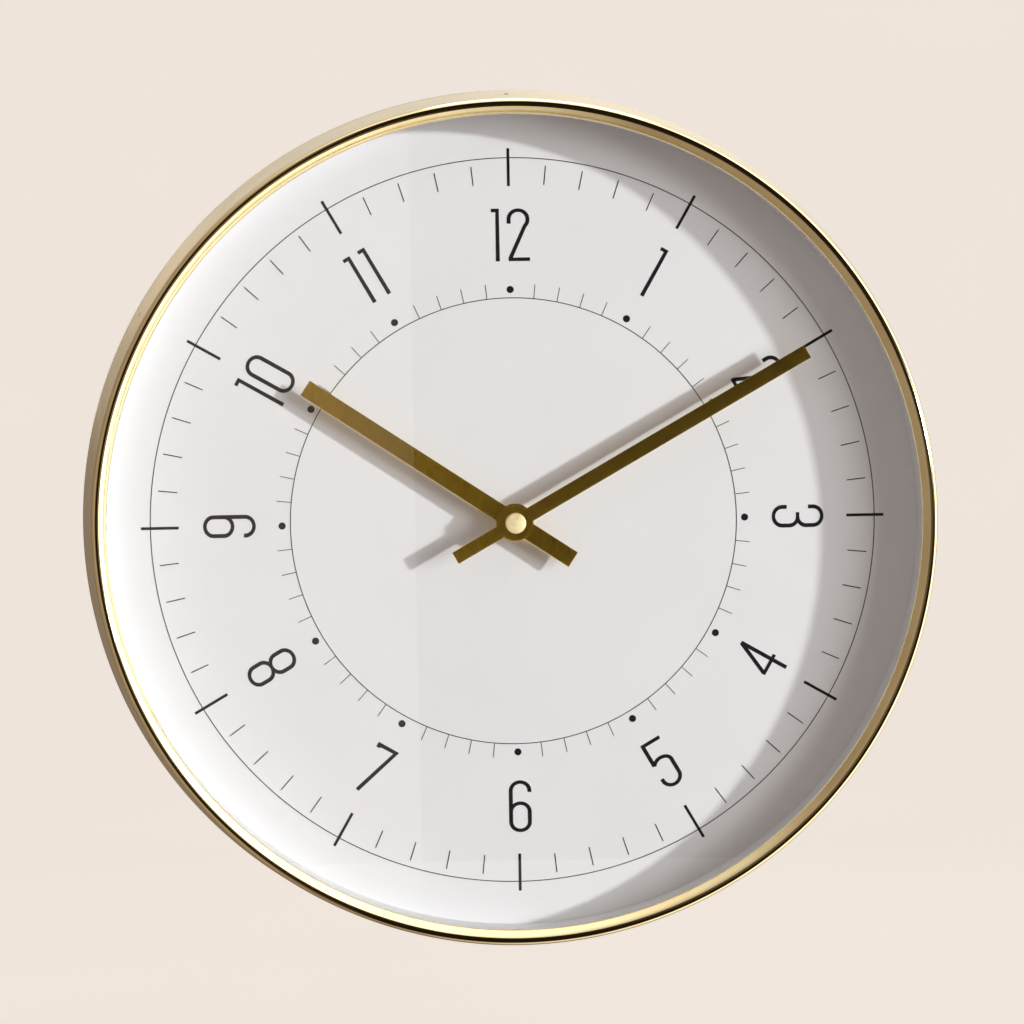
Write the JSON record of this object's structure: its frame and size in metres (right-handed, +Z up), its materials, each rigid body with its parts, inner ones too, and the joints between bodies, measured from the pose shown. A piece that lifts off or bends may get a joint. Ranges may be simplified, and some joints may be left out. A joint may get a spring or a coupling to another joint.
{
  "type": "round wall clock",
  "caption": "Round quartz wall clock with a flared gold rim, flat glass, white dial with thin numerals and two straight bar hands.",
  "frame": {"origin": "on the hands' axis, halfway between the wall plane and the front of the rim", "axes": "+Y along the hands' axis into the wall, +Z up towards twelve, +X towards three as seen from the front"},
  "size_m": [0.3048, 0.042, 0.3048],
  "materials": {
    "gold_case": "polished, anodised gold colour",
    "clear_glass": "clear flat glass",
    "white_plastic": "smooth white",
    "white_dial": "matt white printed sheet",
    "dial_ink": "matt black print",
    "fibre_board": "pressed fibre board",
    "black_plastic": "fine grained black",
    "zinc_steel": "zinc plated",
    "soft_rubber": "matt black",
    "yellow_brass": "turned",
    "hand_gold": "brushed, anodised antique brass colour",
    "cap_gold": "polished",
    "grey_plastic": "plain",
    "gear_plastic": "plain natural acetal",
    "board_green": "lacquered circuit board",
    "can_metal": "bright can",
    "copper_wire": "enamelled copper wire",
    "core_iron": "soft iron",
    "magnet_dark": "sintered magnet",
    "white_knob": "plain",
    "cell_jacket": "plain printed-film jacket, no lettering"
  },
  "bodies": {
    "clock_body": {"case_shell": "gold_case", "glass_lens": "clear_glass", "glass_gasket": "white_plastic", "inner_ring": "white_plastic", "dial_plate": "white_dial", "dial_print": "dial_ink", "dial_board": "fibre_board", "back_cover": "black_plastic", "back_cover_screws": "zinc_steel", "hanger_plate": "zinc_steel", "hanger_rivets": "zinc_steel", "soft_washer": "soft_rubber", "dial_washer": "yellow_brass", "dial_nut": "yellow_brass", "front_housing": "black_plastic", "back_housing": "black_plastic", "mid_plate": "grey_plastic", "circuit_board": "board_green", "quartz_crystal": "can_metal", "coil_bobbin": "grey_plastic", "coil_winding": "copper_wire", "coil_core": "core_iron", "stator_plate": "core_iron", "contact_plus": "zinc_steel", "contact_minus": "zinc_steel"},
    "minute_hand_body": {"minute_hand": "hand_gold", "hand_cap": "cap_gold", "minute_shaft": "yellow_brass"},
    "hour_hand_body": {"hour_hand": "hand_gold", "hour_wheel": "yellow_brass"},
    "setting_body": {"setting_knob": "white_knob", "minute_wheel": "gear_plastic"},
    "second_wheel_body": {"second_wheel": "gear_plastic"},
    "rotor_body": {"rotor": "magnet_dark"},
    "intermediate_body": {"intermediate_wheel": "gear_plastic"},
    "third_wheel_body": {"third_wheel": "gear_plastic"},
    "centre_wheel_body": {"centre_wheel": "yellow_brass", "clutch_spring": "zinc_steel"},
    "battery_body": {"battery_cell": "cell_jacket"}
  },
  "joints": [
    {"name": "minute_turn", "type": "hinge", "parent": "clock_body", "child": "minute_hand_body", "pos_m": [0, 0, 0], "axis": [0, 1, 0], "continuous": true},
    {"name": "hour_turn", "type": "hinge", "parent": "clock_body", "child": "hour_hand_body", "pos_m": [0, 0, 0], "axis": [0, 1, 0], "continuous": true},
    {"name": "setting_turn", "type": "hinge", "parent": "clock_body", "child": "setting_body", "pos_m": [0.00902, 0, 0.00328], "axis": [0, 1, 0], "continuous": true},
    {"name": "second_wheel_turn", "type": "hinge", "parent": "clock_body", "child": "second_wheel_body", "pos_m": [0, 0, 0], "axis": [0, 1, 0], "continuous": true},
    {"name": "rotor_turn", "type": "hinge", "parent": "clock_body", "child": "rotor_body", "pos_m": [-0.01293, 0, -0.00246], "axis": [0, 1, 0], "continuous": true},
    {"name": "intermediate_turn", "type": "hinge", "parent": "clock_body", "child": "intermediate_body", "pos_m": [-0.00677, 0, -0.00246], "axis": [0, 1, 0], "continuous": true},
    {"name": "third_wheel_turn", "type": "hinge", "parent": "clock_body", "child": "third_wheel_body", "pos_m": [0, 0, 0.009], "axis": [0, 1, 0], "continuous": true},
    {"name": "centre_wheel_turn", "type": "hinge", "parent": "clock_body", "child": "centre_wheel_body", "pos_m": [0, 0, 0], "axis": [0, 1, 0], "continuous": true},
    {"name": "battery_slide", "type": "slide", "parent": "clock_body", "child": "battery_body", "axis": [0, 1, 0], "range_m": [0, 0.016]}
  ],
  "couplings": [
    {"joint": "hour_turn", "follows": "minute_turn", "ratio": 0.083333},
    {"joint": "setting_turn", "follows": "minute_turn", "ratio": -0.33333},
    {"joint": "rotor_turn", "follows": "second_wheel_turn", "ratio": 30},
    {"joint": "intermediate_turn", "follows": "second_wheel_turn", "ratio": -5},
    {"joint": "third_wheel_turn", "follows": "second_wheel_turn", "ratio": -0.13333},
    {"joint": "centre_wheel_turn", "follows": "second_wheel_turn", "ratio": 0.016667}
  ]
}
